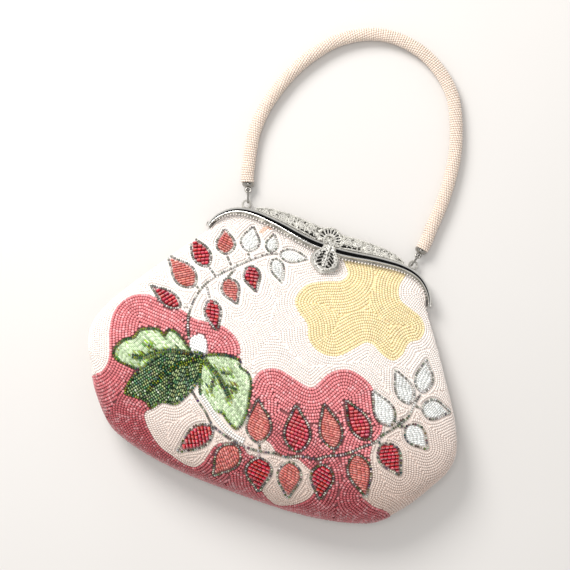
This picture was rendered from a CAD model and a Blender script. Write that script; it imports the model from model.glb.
import math

import bmesh
import bpy
import numpy as np
from mathutils import Matrix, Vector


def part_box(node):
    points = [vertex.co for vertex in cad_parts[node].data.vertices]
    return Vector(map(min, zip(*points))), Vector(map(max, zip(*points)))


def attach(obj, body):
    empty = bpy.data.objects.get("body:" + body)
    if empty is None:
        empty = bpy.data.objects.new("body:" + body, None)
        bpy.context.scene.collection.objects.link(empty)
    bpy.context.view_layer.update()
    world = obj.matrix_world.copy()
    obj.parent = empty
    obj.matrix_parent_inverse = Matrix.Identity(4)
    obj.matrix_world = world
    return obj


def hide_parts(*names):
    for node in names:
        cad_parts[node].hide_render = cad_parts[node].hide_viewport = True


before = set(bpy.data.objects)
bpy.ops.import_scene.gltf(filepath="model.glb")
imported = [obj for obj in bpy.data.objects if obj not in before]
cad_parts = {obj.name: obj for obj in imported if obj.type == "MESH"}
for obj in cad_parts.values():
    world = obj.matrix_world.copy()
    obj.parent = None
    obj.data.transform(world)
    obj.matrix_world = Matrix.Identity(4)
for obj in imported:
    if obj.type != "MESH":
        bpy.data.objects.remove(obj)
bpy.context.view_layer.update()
bpy.ops.object.select_all(action="DESELECT")
random = np.random.default_rng(7)

# Sizes in millimetres, read from the frame or repeated from the part's source
MM = 0.001
pouch_low, pouch_high = (np.array(corner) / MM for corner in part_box("pouch"))
bar_low, bar_high = (np.array(corner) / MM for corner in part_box("frame_front"))
_, rope_high = (np.array(corner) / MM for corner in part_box("handle_rope"))
BAG_WIDTH = 228.0
BAG_HEIGHT = -2 * pouch_low[1]
BAG_DEPTH = pouch_high[2]
FRAME_WIDTH = 140.0
SHOULDER_RISE = 14.0
BAR_HEIGHT = 4.5
LIP_DROP = 1.8
LIP_THICKNESS = 0.8
LIP_RECESS = 0.6
SEAT_GAP = 0.3
MOUTH_GAP = 0.5
CLOTH_HEIGHT = 0.84
CLOTH_WALL = 2.1
FRAME_LINE = BAG_HEIGHT / 2
FRAME_DEPTH = bar_high[2]
MIDDLE_PLANE = FRAME_DEPTH / 2
MOUTH_FRONT = FRAME_DEPTH - LIP_RECESS - LIP_THICKNESS - SEAT_GAP
MOUTH_BACK = FRAME_DEPTH - MOUTH_FRONT
ROPE_RADIUS = rope_high[2] / 2
SEAM_SHARE = 0.42
BOTTOM_CURVE = 3
BEAD_HEIGHT = 1.3

# The photograph: its scale, the turn of the bag in it and the place of its middle
PICTURE_SIZE = 570
PICTURE_SCALE = 0.594
PICTURE_TURN = math.radians(20)
PICTURE_MIDDLE = np.array([-14.9, 52.5])
PICTURE_PLANE = 10.0
CAMERA_HEIGHT = 900.0

# Centre line of a frame bar: shares of half the frame width, the shoulder rise,
# the bar height and the lip drop
BAR_ROUTE = np.array(
    [
        (0.0, 0.66, 1.0, 1.0),
        (0.12, 0.67, 1.0, 1.0),
        (0.26, 0.76, 0.96, 1.0),
        (0.4, 0.88, 0.9, 1.0),
        (0.53, 0.96, 0.84, 1.0),
        (0.65, 1.0, 0.79, 0.95),
        (0.76, 0.95, 0.73, 0.85),
        (0.85, 0.79, 0.66, 0.75),
        (0.925, 0.5, 0.58, 0.6),
        (0.975, 0.16, 0.5, 0.4),
        (1.0, -0.2, 0.38, 0.15),
    ],
    dtype=[("across", float), ("rise", float), ("height", float), ("lip", float)],
)

# Rows of the pouch from the mouth to the bottom edge, with the columns of the part's source
POUCH_ROWS = np.array(
    [
        (0.0, 0.0, 0.0, 0.0, 0.0, 1.0, 1.0),
        (0.022, 0.024, 0.02, 0.0, 0.0, 1.0, 0.95),
        (0.085, 0.09, 0.17, 0.13, 0.0, 0.25, 0.74),
        (0.17, 0.18, 0.36, 0.31, 0.0, 0.0, 0.5),
        (0.27, 0.28, 0.56, 0.5, 0.0, 0.0, 0.3),
        (0.37, 0.37, 0.74, 0.66, 0.0, 0.0, 0.15),
        (0.47, 0.46, 0.9, 0.79, 0.0, 0.0, 0.05),
        (0.57, 0.552, 1.0, 0.9, 0.0, 0.0, 0.0),
        (0.66, 0.63, 0.97, 0.97, 0.0, 0.0, 0.0),
        (0.75, 0.71, 0.83, 1.0, 0.0, 0.0, 0.0),
        (0.84, 0.79, 0.68, 0.97, 0.0, 0.0, 0.0),
        (0.92, 0.865, 0.49, 0.84, 0.0, 0.0, 0.0),
        (0.975, 0.91, 0.35, 0.6, 0.03, 0.0, 0.0),
        (1.0, 0.935, 0.24, 0.24, 0.15, 0.0, 0.0),
    ],
    dtype=[
        ("down", float), ("side_down", float), ("spread", float), ("top", float),
        ("bottom", float), ("tuck", float), ("bow", float),
    ],
)

# Route of the beaded rope between its straight starts, in millimetres, as in the part's source
ROPE_ROUTE = [
    (-60.5, 115.4), (-63.2, 130.2), (-63.0, 143.9), (-59.9, 158.6), (-54.1, 174.4), (-46.4, 187.7),
    (-36.2, 199.8), (-23.4, 208.6), (-11.2, 212.9), (1.8, 213.6), (16.5, 210.5), (31.1, 202.2),
    (41.0, 192.3), (48.2, 178.1), (53.5, 162.2), (56.0, 145.3), (56.5, 126.6), (55.6, 114.0),
]
ROPE_STRAIGHT = 5.0
CAP_LEAN = {"left": 18, "right": -8}
CAP_TOP = 3.3

# Colours, as linear values
CREAM = (0.95, 0.87, 0.82)
LOW_CREAM = (0.66, 0.52, 0.45)
STAIN_TINT = (1.0, 0.72, 0.6)
YELLOW = (0.93, 0.77, 0.46)
PINK = (0.88, 0.28, 0.3)
DARK_ROSE = (0.46, 0.082, 0.098)
RED = (0.47, 0.004, 0.022)
BRIGHT_RED = (0.6, 0.012, 0.035)
CORAL = (0.6, 0.125, 0.1)
PALE_CORAL = (0.72, 0.22, 0.18)
CLEAR = (0.87, 0.88, 0.86)
DULL_CLEAR = (0.74, 0.75, 0.73)
CLEAR_GROUND = (0.82, 0.83, 0.8)
GUNMETAL = (0.3, 0.295, 0.265)
PALE_SILVER = (0.86, 0.85, 0.8)
SHADED_SILVER = (0.15, 0.145, 0.115)
WARM_SILVER = (0.54, 0.52, 0.45)
LIGHT_GREEN = (0.5, 0.63, 0.39)
PALE_GREEN = (0.66, 0.78, 0.54)
DARK_GREEN = (0.135, 0.27, 0.11)
MOSS = (0.36, 0.46, 0.2)
LEAF_GLINT = (0.72, 0.8, 0.6)
OLIVE = (0.2, 0.27, 0.04)
DEEP_OLIVE = (0.04, 0.11, 0.045)
LIME = (0.3, 0.42, 0.11)
WHITE = (0.97, 0.97, 0.96)
SOFT_WHITE = (0.92, 0.89, 0.85)
DARK_CLOTH = (0.01, 0.035, 0.015)
ROPE_CREAM = (0.83, 0.7, 0.6)
CORD = (0.84, 0.7, 0.61)
NICKEL = (0.8, 0.785, 0.75)
TARNISH = (0.16, 0.145, 0.12)
CAST_BALL = (0.7, 0.7, 0.68)
JET = (0.02, 0.02, 0.018)

UP = np.array([0.0, 0.0, 1.0])


# Curves through a few chosen points
SPAN_STEPS = 24


def cubic(first, last, start, end, t):
    """A smooth step from one value to the next, with a slope at each end."""
    square = 3 * (last - first) - 2 * start - end
    cube = 2 * (first - last) + start + end
    return first + start * t + square * t**2 + cube * t**3


def spline(points, step, closed=False):
    """Points about a step apart on a smooth curve through the given ones."""
    points = np.array(points, float)
    if closed:
        ring = np.vstack([points[-1], points, points[0], points[1]])
    else:
        ring = np.vstack([2 * points[0] - points[1], points, 2 * points[-1] - points[-2]])
    dense = []
    for a, b, c, d in zip(ring, ring[1:], ring[2:], ring[3:]):
        before, span, after = (max(np.linalg.norm(q - p), 1e-6) ** 0.5 for p, q in ((a, b), (b, c), (c, d)))
        start = ((b - a) / before - (c - a) / (before + span) + (c - b) / span) * span
        end = ((c - b) / span - (d - b) / (span + after) + (d - c) / after) * span
        t = np.linspace(0, 1, SPAN_STEPS, endpoint=False)[:, None]
        dense.append(cubic(b, c, start, end, t))
    dense = np.vstack(dense + [points[:1] if closed else points[-1:]])
    return evenly(dense, step)


def evenly(line, step, shift=0.0):
    """The line moved to even steps along it, measured in space where it also carries other columns."""
    spans = np.diff(line[:, : min(line.shape[1], 3)], axis=0)
    lengths = np.concatenate([[0], np.cumsum(np.linalg.norm(spans, axis=1))])
    count = max(int(round(lengths[-1] / step)), 2)
    places = np.clip((np.arange(count + 1) + shift) / count, 0, 1) * lengths[-1]
    return np.stack([np.interp(places, lengths, column) for column in line.T], axis=1)


def unit(vectors):
    """Vectors brought to length one."""
    return vectors / np.maximum(np.linalg.norm(vectors, axis=-1), 1e-9)[..., None]


def turns_of(count):
    """Even turns round a circle."""
    return 2 * np.pi * np.arange(count) / count


def circle(middle, radius, turns):
    """Points round a middle, level with it."""
    return middle + radius * np.stack([np.cos(turns), np.sin(turns), 0 * turns], axis=1)


# The frame's centre line and the pouch's surface
right_half = [(row["across"] * FRAME_WIDTH / 2, row["rise"] * SHOULDER_RISE) for row in BAR_ROUTE]
left_half = [(-x, y) for x, y in right_half[:0:-1]]
FRAME_CURVE = spline([(x, FRAME_LINE + y) for x, y in left_half + right_half], 0.25)
FRAME_SHARES = np.linspace(0, 1, len(FRAME_CURVE))


def frame_place(share):
    """Centre, outward direction, half height and lip of the frame bars at shares of their length."""
    centre = np.stack([np.interp(share, FRAME_SHARES, column) for column in FRAME_CURVE.T], axis=-1)
    slope = unit(np.gradient(FRAME_CURVE, axis=0))
    along = np.stack([np.interp(share, FRAME_SHARES, column) for column in slope.T], axis=-1)
    away = np.stack([-along[..., 1], along[..., 0]], axis=-1)
    across = np.abs(centre[..., 0]) / (FRAME_WIDTH / 2)
    half = BAR_HEIGHT / 2 * np.interp(across, BAR_ROUTE["across"], BAR_ROUTE["height"])
    lip = LIP_DROP * np.interp(across, BAR_ROUTE["across"], BAR_ROUTE["lip"])
    return centre, away, half, lip


def pouch_rows(place):
    """The table's columns on a smooth curve, at places counted in rows."""
    last = len(POUCH_ROWS) - 1
    i = np.minimum(np.floor(place).astype(int), last - 1)
    t = place - i
    columns = {}
    for name in POUCH_ROWS.dtype.names:
        a, b, c, d = (POUCH_ROWS[name][np.clip(i + step, 0, last)] for step in (-1, 0, 1, 2))
        columns[name] = cubic(b, c, (c - a) / 2, (d - b) / 2, t)
    return columns


# Roundness of the front and flat share of the back, at the belly and at the mouth
BELLY_ROUND = 0.8
MOUTH_ROUND = 0.14
BELLY_FLAT = 0.6
MOUTH_FLAT = 0.96
BOW_POWER = 4
BEND_POWER = 2.2
BEND_RISE = 0.55


def pouch_surface(angle, place, inset):
    """Points of the pouch, inset from its outside. Angles from 0 to pi are its front, the rest its back."""
    row = pouch_rows(place)
    row_half = FRAME_WIDTH / 2 + (BAG_WIDTH - FRAME_WIDTH) / 2 * row["spread"]
    top = MOUTH_FRONT + (BAG_DEPTH - MOUTH_FRONT) * row["top"]
    bottom = np.maximum(0, row["bottom"] * BAG_DEPTH + row["tuck"] * MOUTH_BACK)
    seam = bottom + (top - bottom) * SEAM_SHARE
    roundness = BELLY_ROUND + (MOUTH_ROUND - BELLY_ROUND) * row["bow"] ** BOW_POWER
    flat = BELLY_FLAT + (MOUTH_FLAT - BELLY_FLAT) * row["bow"] ** BOW_POWER
    across = np.cos(angle)
    rise = np.sin(angle)
    centre, away, half, _ = frame_place((across + 1) / 2)
    mouth = centre - away * (half + MOUTH_GAP)[..., None]
    level = (row["down"] + (row["side_down"] - row["down"]) * np.abs(across) ** BOTTOM_CURVE) * BAG_HEIGHT
    x = row_half * across + row["bow"] * (mouth[..., 0] - FRAME_WIDTH / 2 * across)
    y = row["bow"] * (mouth[..., 1] - FRAME_LINE) - level
    bend = np.clip((np.abs(across) - flat) / (1 - flat), 0, 1)
    front = seam + (top - seam) * np.maximum(rise, 0) ** roundness
    back = bottom + (seam - bottom) * (1 - (1 - bend**BEND_POWER) ** BEND_RISE)
    z = np.where(rise > 0, front, back)
    middle = (top + bottom) / 2
    x = x * (1 - inset / row_half)
    y = FRAME_LINE + np.where(y < 0, y * (1 - inset / BAG_HEIGHT), y)
    z = middle + (z - middle) * (1 - 2 * inset / (top - bottom))
    return np.stack([x, y, z], axis=-1)


def to_picture(points):
    """Where the camera sees points of the object, in the photograph's pixels."""
    near = (CAMERA_HEIGHT - PICTURE_PLANE) / (CAMERA_HEIGHT - points[..., 2])
    dx = (points[..., 0] - PICTURE_MIDDLE[0]) * near / PICTURE_SCALE
    dy = (points[..., 1] - PICTURE_MIDDLE[1]) * near / PICTURE_SCALE
    u = PICTURE_SIZE / 2 + dx * math.cos(PICTURE_TURN) + dy * math.sin(PICTURE_TURN)
    v = PICTURE_SIZE / 2 + dx * math.sin(PICTURE_TURN) - dy * math.cos(PICTURE_TURN)
    return np.stack([u, v], axis=-1)


# The design, with places read off the photograph in its pixels
YELLOW_PATCH = [
    (336, 240), (345, 264), (348, 275), (342, 281), (324, 282), (308, 285), (298, 294), (295, 304),
    (300, 314), (307, 324), (309, 340), (316, 350), (328, 356), (340, 356), (354, 349), (366, 343),
    (373, 345), (381, 354), (393, 361), (402, 355), (409, 343), (419, 340), (424, 331), (421, 319),
    (410, 309), (400, 300), (399, 287), (404, 278), (412, 262), (380, 240),
]
RED_PATCH = [
    (60, 384), (91, 376), (103, 371), (109, 361), (110, 343), (110, 332), (114, 314), (123, 302),
    (134, 296), (148, 295), (155, 298), (180, 309), (187, 314), (194, 319), (223, 327), (235, 337),
    (240, 348), (240, 357), (238, 380), (236, 410), (250, 440), (290, 470), (330, 490), (360, 496),
    (372, 505), (389, 513), (400, 560), (200, 560), (60, 460),
]
CREAM_POCKET = [
    (190, 380), (155, 407), (146, 412), (145, 416), (150, 430), (160, 445), (173, 455), (187, 464),
    (196, 466), (203, 462), (209, 454), (216, 445), (228, 442), (241, 445), (250, 455), (262, 452),
    (256, 420), (225, 400),
]
PINK_PATCH = [
    (250, 393), (253, 381), (260, 372), (269, 369), (279, 370), (291, 377), (303, 385), (312, 388),
    (320, 382), (329, 374), (341, 370), (351, 371), (364, 379), (372, 388), (374, 401), (377, 417),
    (382, 425), (381, 432), (374, 443), (370, 453), (370, 460), (372, 480), (360, 496), (330, 492),
    (300, 480), (280, 468), (268, 448), (255, 440), (248, 420),
]
CREAM_LOBE = [
    (250, 437), (262, 439), (270, 443), (276, 451), (288, 457), (298, 459), (306, 466), (314, 474),
    (316, 484), (312, 495), (303, 501), (290, 504), (277, 503), (266, 495), (260, 485), (259, 470),
    (257, 457), (246, 450),
]

# Buds and leaflets: base, tip, greatest width
RED_BUDS = [
    ((180, 307), (151, 286), 15), ((208, 266), (191, 237), 18), ((249, 266), (256, 292), 17),
    ((210, 300), (217, 331), 17), ((212, 427), (178, 451), 22), ((259, 458), (259, 490), 26),
    ((323, 465), (320, 498), 23), ((382, 444), (400, 475), 23), ((298, 451), (296, 406), 26),
    ((368, 439), (346, 401), 20),
]
CORAL_BUDS = [
    ((194, 286), (169, 257), 22), ((226, 254), (225, 229), 19), ((226, 279), (237, 304), 18),
    ((237, 446), (214, 474), 25), ((290, 462), (288, 497), 24), ((355, 455), (366, 496), 23),
    ((259, 442), (258, 400), 25), ((335, 448), (324, 405), 22),
]
CLEAR_BUDS = [
    ((248, 251), (253, 227), 19), ((270, 252), (274, 234), 12), ((280, 254), (308, 259), 13),
    ((274, 259), (282, 283), 13), ((391, 425), (373, 391), 20), ((410, 403), (395, 370), 18),
    ((422, 392), (426, 360), 18), ((422, 408), (449, 412), 20), ((407, 426), (427, 449), 20),
]
STEMS = [
    [
        (189, 339), (188, 323), (191, 307), (201, 289), (212, 279), (228, 270), (246, 262), (269, 254),
        (280, 254),
    ],
    [
        (192, 391), (198, 401), (205, 411), (212, 424), (222, 433), (234, 441), (247, 447), (260, 451),
        (274, 453), (288, 457), (298, 456), (307, 457), (317, 459), (327, 456), (341, 455), (351, 452),
        (365, 446), (373, 443), (384, 434), (394, 428), (408, 417), (413, 406), (420, 394),
    ],
    [(191, 307), (180, 307)], [(201, 289), (194, 286)], [(216, 277), (208, 266)], [(232, 268), (226, 254)],
    [(249, 261), (248, 251)], [(240, 264), (226, 279)], [(206, 284), (210, 300)], [(396, 427), (407, 426)],
    [(408, 417), (391, 425)], [(412, 408), (410, 403)], [(413, 406), (422, 408)], [(259, 442), (260, 451)],
    [(298, 451), (298, 456)], [(335, 448), (333, 455)], [(368, 439), (373, 443)], [(237, 446), (238, 443)],
    [(259, 458), (259, 451)], [(290, 462), (288, 457)], [(323, 465), (318, 459)], [(355, 455), (351, 452)],
    [(382, 444), (376, 441)],
]

# White row between the lower stem and a green leaf
WHITE_ROW = [(201, 395), (207, 404), (213, 413), (219, 421), (226, 429), (235, 436), (244, 441)]

# Faint mark on the cream glass, and how far it reaches
STAIN = np.array([(262, 232), (265, 230), (268, 228), (271, 227), (274, 225)], float)
STAIN_REACH = 2.2

# A bud's half width along it, as shares
BUD_SHAPE = np.array(
    [(0.0, 0.16), (0.08, 0.55), (0.24, 0.92), (0.4, 1.0), (0.58, 0.84), (0.8, 0.42), (1.0, 0.0)],
    dtype=[("share", float), ("half", float)],
)

# Green leaves: outlines and veins
LEFT_LEAF = [
    (114, 352), (123, 341), (135, 337), (139, 331), (148, 329), (159, 330), (164, 336), (169, 330),
    (180, 336), (187, 346), (192, 354), (169, 353), (151, 361), (141, 369), (128, 365), (117, 359),
]
DARK_LEAF = [
    (203, 355), (180, 353), (159, 355), (148, 364), (135, 375), (126, 393), (135, 396), (148, 402),
    (151, 408), (162, 402), (176, 404), (182, 400), (194, 387), (200, 375),
]
RIGHT_LEAF = [
    (203, 357), (216, 355), (228, 356), (241, 362), (239, 366), (248, 373), (251, 384), (249, 400),
    (246, 414), (237, 429), (228, 421), (221, 412), (214, 412), (205, 400), (200, 393), (200, 379),
    (201, 366),
]
LEFT_VEINS = [
    [(192, 354), (175, 351), (158, 352), (144, 357), (132, 356)], [(158, 352), (148, 345)],
    [(150, 355), (139, 361)],
]
DARK_VEINS = [
    [(203, 357), (186, 362), (170, 370), (158, 380), (148, 392)], [(170, 370), (160, 366)],
    [(170, 370), (172, 388)], [(186, 362), (188, 376)],
]
RIGHT_VEINS = [
    [(204, 360), (212, 369), (219, 377), (225, 388), (230, 400)], [(216, 372), (232, 374)],
    [(215, 374), (212, 384), (211, 393)], [(222, 383), (237, 390)],
]
# Where the dark leaf's dotted side ends and its slanting rows begin
DARK_SPLIT = 168
KNOT = [(190, 341), (194, 336), (201, 335), (206, 340), (207, 348), (205, 354), (197, 354), (191, 349)]


def bud_outline(base, tip, width):
    """Outline of a bud with a blunt base and a drawn out tip."""
    base = np.array(base, float)
    along = np.array(tip, float) - base
    aside = np.array([-along[1], along[0]]) / np.linalg.norm(along)
    sides = []
    for side in (1, -1):
        half = side * width / 2 * BUD_SHAPE["half"]
        sides.append(base + BUD_SHAPE["share"][:, None] * along + half[:, None] * aside)
    return spline(np.vstack([sides[0], sides[1][-2::-1]]), 1.0, True)


def holds(outline, points):
    """Which points lie inside a closed outline."""
    u, v = points[..., 0], points[..., 1]
    inside = np.zeros(u.shape, bool)
    for (u0, v0), (u1, v1) in zip(outline, np.roll(outline, -1, axis=0)):
        if v0 == v1:
            continue
        crosses = (v0 > v) != (v1 > v)
        inside ^= crosses & (u < (u1 - u0) * (v - v0) / (v1 - v0) + u0)
    return inside


class Panel:
    """A side of the pouch as a fine grid of places, each a pair of grid numbers."""

    find_step = 3
    find_size = PICTURE_SIZE // 3
    least_facing = 0.1
    rounds = 12
    steadying = 1e-4
    longest_step = 6
    closest = 0.6
    block = 20

    def __init__(self, space):
        self.space = space
        across, along = np.gradient(self.space, axis=(0, 1))
        self.facing = unit(np.cross(across, along))
        self.picture = to_picture(self.space)
        self.slopes = np.stack(np.gradient(self.picture, axis=(0, 1)), axis=-1)
        self.last = np.array(space.shape[:2]) - 1.001
        self.finder = np.full((self.find_size, self.find_size, 2), -1)
        shown = self.facing[..., 2] > self.least_facing
        cells = self.cells(self.picture[shown])
        self.finder[cells[:, 0], cells[:, 1]] = np.stack(np.indices(self.space.shape[:2]), axis=-1)[shown]

    def cells(self, picture):
        """Squares of the finder in which points of the photograph lie."""
        return np.clip(np.floor(picture / self.find_step).astype(int), 0, self.find_size - 1)

    def at(self, places, field):
        """Values of a field between the grid's places."""
        places = np.clip(places, 0, self.last)
        corner = np.floor(places).astype(int)
        share = places - corner
        total = 0
        for i, j in ((0, 0), (1, 0), (0, 1), (1, 1)):
            part = (share[:, 0] if i else 1 - share[:, 0]) * (share[:, 1] if j else 1 - share[:, 1])
            value = field[corner[:, 0] + i, corner[:, 1] + j]
            total = total + part.reshape(-1, *[1] * (value.ndim - 1)) * value
        return total

    def from_picture(self, line):
        """Grid places of points in the photograph, and which of them lie on the panel."""
        line = np.array(line, float)
        cells = self.cells(line)
        places = self.finder[cells[:, 0], cells[:, 1]].astype(float)
        there = places[:, 0] >= 0
        for _ in range(self.rounds):
            missing = line - self.at(places, self.picture)
            slopes = self.at(places, self.slopes) + self.steadying * np.eye(2)
            step = np.linalg.solve(slopes, missing[..., None])[..., 0]
            places = np.clip(places + np.clip(step, -self.longest_step, self.longest_step), 0, self.last)
        there &= np.linalg.norm(line - self.at(places, self.picture), axis=1) < self.closest
        return places, there

    def line(self, points):
        """A line of the photograph as runs over the panel, each row a point in space and its place."""
        points = evenly(np.array(points, float), 1.0)
        places, there = self.from_picture(points)
        cuts = np.flatnonzero(np.diff(there.astype(int))) + 1
        runs = np.split(np.arange(len(points)), cuts)
        runs = [run for run in runs if len(run) > 1 and there[run[0]]]
        return [np.hstack([self.at(places[run], self.space), places[run]]) for run in runs]

    def distance(self, targets):
        """Distance in space from each place of the grid to the nearest of some points."""
        result = np.zeros(self.space.shape[:2], np.float32)
        targets = np.asarray(targets, np.float32)
        for i in range(0, result.shape[0], self.block):
            for j in range(0, result.shape[1], self.block):
                here = self.space[i : i + self.block, j : j + self.block].astype(np.float32)
                middle = here.reshape(-1, 3).mean(axis=0)
                reach = np.linalg.norm(here - middle, axis=2).max()
                away = np.linalg.norm(targets - middle, axis=1)
                close = targets[away <= away.min() + 2 * reach + 0.5]
                gaps = np.linalg.norm(here[:, :, None] - close, axis=3)
                result[i : i + self.block, j : j + self.block] = gaps.min(axis=2)
        return result


# The grids keep clear of the side seams, and start below the mouth
SEAM_CLEAR = 1e-3
FIRST_ROW = 0.3


def side_grid(start_angle, around, down):
    """Points of the front or the back of the pouch, under its beads."""
    angle, place = np.meshgrid(
        start_angle + np.linspace(SEAM_CLEAR, np.pi - SEAM_CLEAR, around),
        np.linspace(FIRST_ROW, len(POUCH_ROWS) - 1, down),
        indexing="ij",
    )
    return pouch_surface(angle, place, BEAD_HEIGHT)


def hem_grid(around, steps):
    """Points of the narrow strip that closes the pouch at the bottom, from its front to its back."""
    angle = np.linspace(SEAM_CLEAR, np.pi - SEAM_CLEAR, around)
    place = np.full(around, len(POUCH_ROWS) - 1.0)
    upper = pouch_surface(angle, place, BEAD_HEIGHT)[:, None]
    lower = pouch_surface(2 * np.pi - angle, place, BEAD_HEIGHT)[:, None]
    share = np.linspace(0, 1, steps)[None, :, None]
    return upper + (lower - upper) * share


def contours(field, level, mask):
    """Lines in cell counts on which a field has one value, where the mask holds."""
    low = field - level
    solid = mask[:-1, :-1] & mask[1:, :-1] & mask[:-1, 1:] & mask[1:, 1:]
    corners = [(0, 0), (1, 0), (1, 1), (0, 1)]
    above = [low[i : low.shape[0] - 1 + i, j : low.shape[1] - 1 + j] > 0 for i, j in corners]
    mixed = solid & ~((above[0] == above[1]) & (above[1] == above[2]) & (above[2] == above[3]))
    links = {}
    places = {}
    for i, j in np.argwhere(mixed):
        ends = []
        for (a, b), (c, d) in zip(corners, corners[1:] + corners[:1]):
            first, second = (i + a, j + b), (i + c, j + d)
            one, two = low[first], low[second]
            if (one > 0) != (two > 0):
                share = one / (one - two)
                key = (min(first, second), max(first, second))
                places[key] = (
                    first[0] + share * (second[0] - first[0]),
                    first[1] + share * (second[1] - first[1]),
                )
                ends.append(key)
        for one, two in zip(ends[::2], ends[1::2]):
            links.setdefault(one, []).append(two)
            links.setdefault(two, []).append(one)
    lines = []
    seen = set()
    starts = [key for key, near in links.items() if len(near) == 1] + list(links)
    for start in starts:
        if start in seen:
            continue
        line = [start]
        seen.add(start)
        while True:
            onward = [key for key in links[line[-1]] if key not in seen]
            if not onward:
                break
            seen.add(onward[0])
            line.append(onward[0])
        if len(line) > 2 and line[0] in links[line[-1]]:
            line.append(line[0])
        lines.append(np.array([places[key] for key in line]))
    return lines


class Beads:
    """Beads of one kind: their places, the way their holes run, which way is up, and colours."""

    def __init__(self):
        self.middles, self.alongs, self.ups, self.sizes, self.colours = [], [], [], [], []

    def add(self, middle, along, up, width, length, colour):
        self.middles.append(middle)
        self.alongs.append(along)
        self.ups.append(up)
        self.sizes.append((width, length))
        self.colours.append(colour)


class Beading:
    """Lays rows of beads on a panel, and keeps them from crowding each other."""

    room = 2.6
    row_crowd = 0.8
    fill_crowd = 0.7
    fill_lift = 0.45
    fill_reach = 60
    fill_step = 0.25

    def __init__(self, panel):
        self.panel = panel
        self.taken = {}

    def free(self, spot, reach):
        """Whether no bead lies within reach of a point, which is then taken."""
        home = tuple(int(value // self.room) for value in spot)
        steps = (-1, 0, 1)
        for key in ((home[0] + i, home[1] + j, home[2] + k) for i in steps for j in steps for k in steps):
            for x, y, z, other in self.taken.get(key, ()):
                gap = (spot[0] - x) ** 2 + (spot[1] - y) ** 2 + (spot[2] - z) ** 2
                if gap < (reach + other) ** 2 / 4:
                    return False
        self.taken.setdefault(home, []).append((*spot, reach))
        return True

    def row(self, beads, line, width, length, colour, lift=0.5, aside=0.0):
        """One row of beads along a line over the panel, or beside it."""
        if len(line) < 2:
            return
        spots = evenly(line, length * 1.01, 0.5)[:-1]
        if len(spots) < 2:
            return
        alongs = np.gradient(spots[:, :3], axis=0)
        ups = unit(self.panel.at(spots[:, 3:], self.panel.facing))
        points = spots[:, :3] + aside * unit(np.cross(ups, alongs))
        self.place(beads, points, alongs, ups, width, length, colour, lift, self.row_crowd)

    def place(self, beads, points, alongs, ups, width, lengths, colour, lift, crowd):
        """Beads at points on the panel, with their holes along the given ways."""
        alongs = unit(alongs - (alongs * ups).sum(-1)[:, None] * ups)
        lengths = np.broadcast_to(lengths, len(points))
        for point, along, up, length in zip(points, alongs, ups, lengths):
            if self.free(point, min(width, length) * crowd):
                beads.add(point + up * width * lift, along, up, width, length, colour(point))

    def echo_rows(self, beads, gap, mask, pitch, colour, lift=0.42):
        """Rows that echo the lines round an area, one pitch apart."""
        panel = self.panel
        for level in np.arange(pitch / 2, gap[mask].max(initial=0), pitch):
            for places in contours(gap, level, mask):
                line = np.hstack([panel.at(places, panel.space), places])
                self.row(beads, line, pitch * 1.03, pitch * 0.8, colour, lift)

    def fill(self, beads, inside, middle, turn, pitch, length, colour, streak, stagger):
        """Straight rows from edge to edge of an area of the photograph, at a turn from its right."""
        along = np.array([math.cos(turn), math.sin(turn)])
        aside = np.array([-along[1], along[0]])
        fine = np.arange(-self.fill_reach, self.fill_reach, self.fill_step)
        for shift in np.arange(-self.fill_reach, self.fill_reach, pitch / PICTURE_SCALE):
            row_middle = middle + shift * aside
            within = inside(row_middle + fine[:, None] * along).astype(int)
            turns = np.flatnonzero(np.diff(within, prepend=0, append=0))
            shade = toned(colour, 1 + random.normal(0, streak))
            for first, last in zip(turns[::2], turns[1::2]):
                cuts = row_cuts(fine[first], fine[last - 1], length / PICTURE_SCALE, stagger)
                if len(cuts) < 2:
                    continue
                spots = row_middle + (cuts[1:] + cuts[:-1])[:, None] / 2 * along
                places, there = self.panel.from_picture(spots)
                ahead, _ = self.panel.from_picture(spots + 0.5 * along)
                points = self.panel.at(places, self.panel.space)
                alongs = self.panel.at(ahead, self.panel.space) - points
                ups = unit(self.panel.at(places, self.panel.facing))
                lengths = np.diff(cuts) * PICTURE_SCALE * 0.99
                rows = [values[there] for values in (points, alongs, ups, lengths)]
                self.place(beads, *rows[:3], pitch * 0.97, rows[3], shade, self.fill_lift, self.fill_crowd)


def row_cuts(start, end, length, stagger):
    """Where one bead of a row ends and the next begins, with no bead in a row shorter than half of one."""
    if end - start < 0.45 * length:
        return np.array([start])
    if stagger:
        inner = np.arange(start + length * (0.4 + 0.6 * random.random()), end - 0.4 * length, length)
        return np.concatenate([[start], inner, [end]])
    return np.linspace(start, end, max(int(round((end - start) / length)), 1) + 1)


# Bead colours: each is a function of the bead's place
def kept_lit(colour):
    """A colour kept between near black and white."""
    return np.clip(colour, 0.002, 1)


def varied(colour, spread):
    """A colour that differs a little from bead to bead."""
    base = np.array(colour)
    return lambda _: kept_lit(base * (1 + random.normal(0, spread)) + random.normal(0, spread / 8, 3))


def mixture(first, second, share, spread):
    """Beads of two colours mixed at random."""
    picks = varied(first, spread), varied(second, spread)
    return lambda point: picks[int(random.random() < share)](point)


def toned(colour, tone):
    """A bead colour made darker or paler by one factor."""
    return lambda point: kept_lit(colour(point) * tone)


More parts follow.
